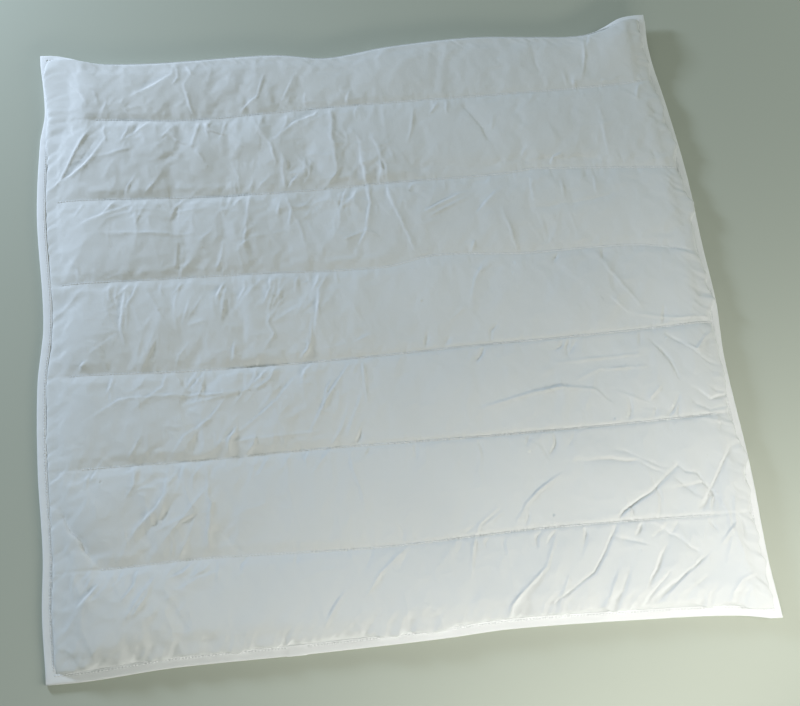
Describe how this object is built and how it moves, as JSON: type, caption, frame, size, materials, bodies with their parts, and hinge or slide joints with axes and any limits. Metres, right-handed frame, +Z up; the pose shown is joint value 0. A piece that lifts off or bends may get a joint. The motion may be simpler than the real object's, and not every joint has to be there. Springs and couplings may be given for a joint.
{
  "type": "baby duvet",
  "caption": "Square baby duvet lying flat: plain white cotton cover, soft filling sewn into level channels, and a folded tape that binds the edge.",
  "frame": {"origin": "under the middle of the cut square, on the surface that the duvet lies on", "axes": "+X along the sewn channels, to the right in the picture, +Y across the channels towards the far side, +Z up"},
  "size_m": [0.809, 0.8027, 0.0233],
  "materials": {
    "cover_cotton": "matte",
    "binding_tape": "matte"
  },
  "bodies": {
    "root": {"quilted_body": "cover_cotton", "edge_binding": "binding_tape"}
  },
  "joints": []
}
